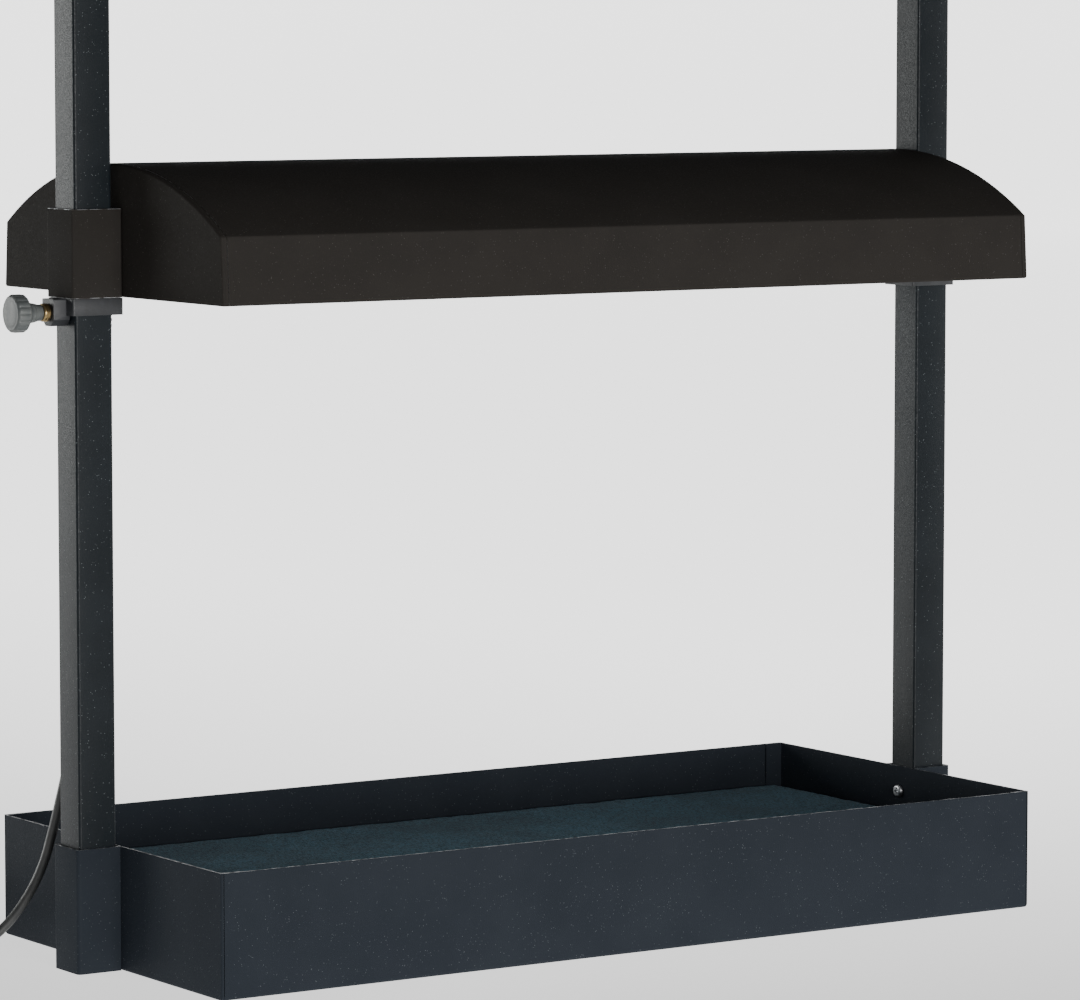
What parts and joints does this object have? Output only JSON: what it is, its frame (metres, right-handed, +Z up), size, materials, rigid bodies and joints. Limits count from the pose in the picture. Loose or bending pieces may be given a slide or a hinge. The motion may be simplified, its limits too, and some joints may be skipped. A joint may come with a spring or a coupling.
{
  "type": "led grow light",
  "caption": "Table-top grow light: a long sheet-metal tray with a square post at each end and an arched lamp hood that slides on the posts, held by a side clamp knob.",
  "frame": {"origin": "centre of the tray's flat underside, on the surface that the object stands on", "axes": "+X along the tray, from the clamped post to the plain post; -Y towards the front; +Z up"},
  "size_m": [0.7417, 0.3906, 0.6129],
  "materials": {
    "tray_paint": "fine textured powder coat, black with a slight blue cast",
    "hood_paint": "fine textured powder coat, warm black",
    "post_paint": "fine textured powder coat, blue-black",
    "black_plastic": "moulded, matt",
    "knob_plastic": "moulded, dark grey",
    "zinc_steel": "zinc plated",
    "brass": "turned",
    "anodised_aluminium": "anodised, satin",
    "reflector_white": "gloss white",
    "board_white": "white solder mask",
    "frosted_lens": "frosted",
    "rubber": "moulded",
    "capillary_felt": "needled felt, blue-grey",
    "cord_sheath": "smooth sheath"
  },
  "bodies": {
    "base": {"tray_pan": "tray_paint", "tray_end_left": "tray_paint", "tray_end_right": "tray_paint", "socket_left": "tray_paint", "socket_right": "tray_paint", "post_left": "post_paint", "post_right": "post_paint", "post_cap_left": "black_plastic", "post_cap_right": "black_plastic", "post_screw_left_lower": "zinc_steel", "post_screw_left_upper": "zinc_steel", "post_screw_right_lower": "zinc_steel", "post_screw_right_upper": "zinc_steel", "water_liner": "black_plastic", "mat_deck": "black_plastic", "capillary_mat": "capillary_felt", "power_cord": "cord_sheath", "cord_coil": "cord_sheath", "plug_body": "rubber", "plug_pin_live": "brass", "plug_pin_neutral": "brass", "plug_pin_earth": "brass"},
    "hood": {"hood_shell": "hood_paint", "hood_end_left": "hood_paint", "hood_end_right": "hood_paint", "hood_rib_left": "zinc_steel", "hood_rib_right": "zinc_steel", "sleeve_left": "hood_paint", "sleeve_right": "hood_paint", "clamp_bush": "black_plastic", "guide_bush": "black_plastic", "clamp_nut": "brass", "reflector": "reflector_white", "lamp_housing": "anodised_aluminium", "led_board": "board_white", "led_driver": "board_white", "lamp_lens": "frosted_lens", "lamp_cap_left": "black_plastic", "lamp_cap_right": "black_plastic", "switch_bezel": "black_plastic", "lamp_clip_left": "zinc_steel", "lamp_clip_right": "zinc_steel", "clip_screw_left": "zinc_steel", "clip_screw_right": "zinc_steel", "cord_gland": "rubber", "lamp_lead": "cord_sheath"},
    "pad": {"clamp_pad": "black_plastic"},
    "knob": {"clamp_knob": "knob_plastic", "clamp_stud": "zinc_steel"},
    "switch": {"switch_rocker": "rubber"}
  },
  "joints": [
    {"name": "hood_height", "type": "slide", "parent": "base", "child": "hood", "axis": [0, 0, 1], "range_m": [-0.25, 0.13], "deforming": ["power_cord"]},
    {"name": "clamp_travel", "type": "slide", "parent": "hood", "child": "pad", "axis": [-1, 0, 0], "range_m": [0, 0.00251]},
    {"name": "clamp_turn", "type": "hinge", "parent": "pad", "child": "knob", "pos_m": [-0.3619, 0, 0.4054], "axis": [-1, 0, 0], "range_deg": [0, 720]},
    {"name": "lamp_switch", "type": "hinge", "parent": "hood", "child": "switch", "pos_m": [-0.24, 0, 0.4557], "axis": [0, 1, 0], "range_deg": [-13.75, 0]}
  ],
  "couplings": [
    {"joint": "clamp_travel", "follows": "clamp_turn", "m_per_rad": 0.00019894}
  ]
}
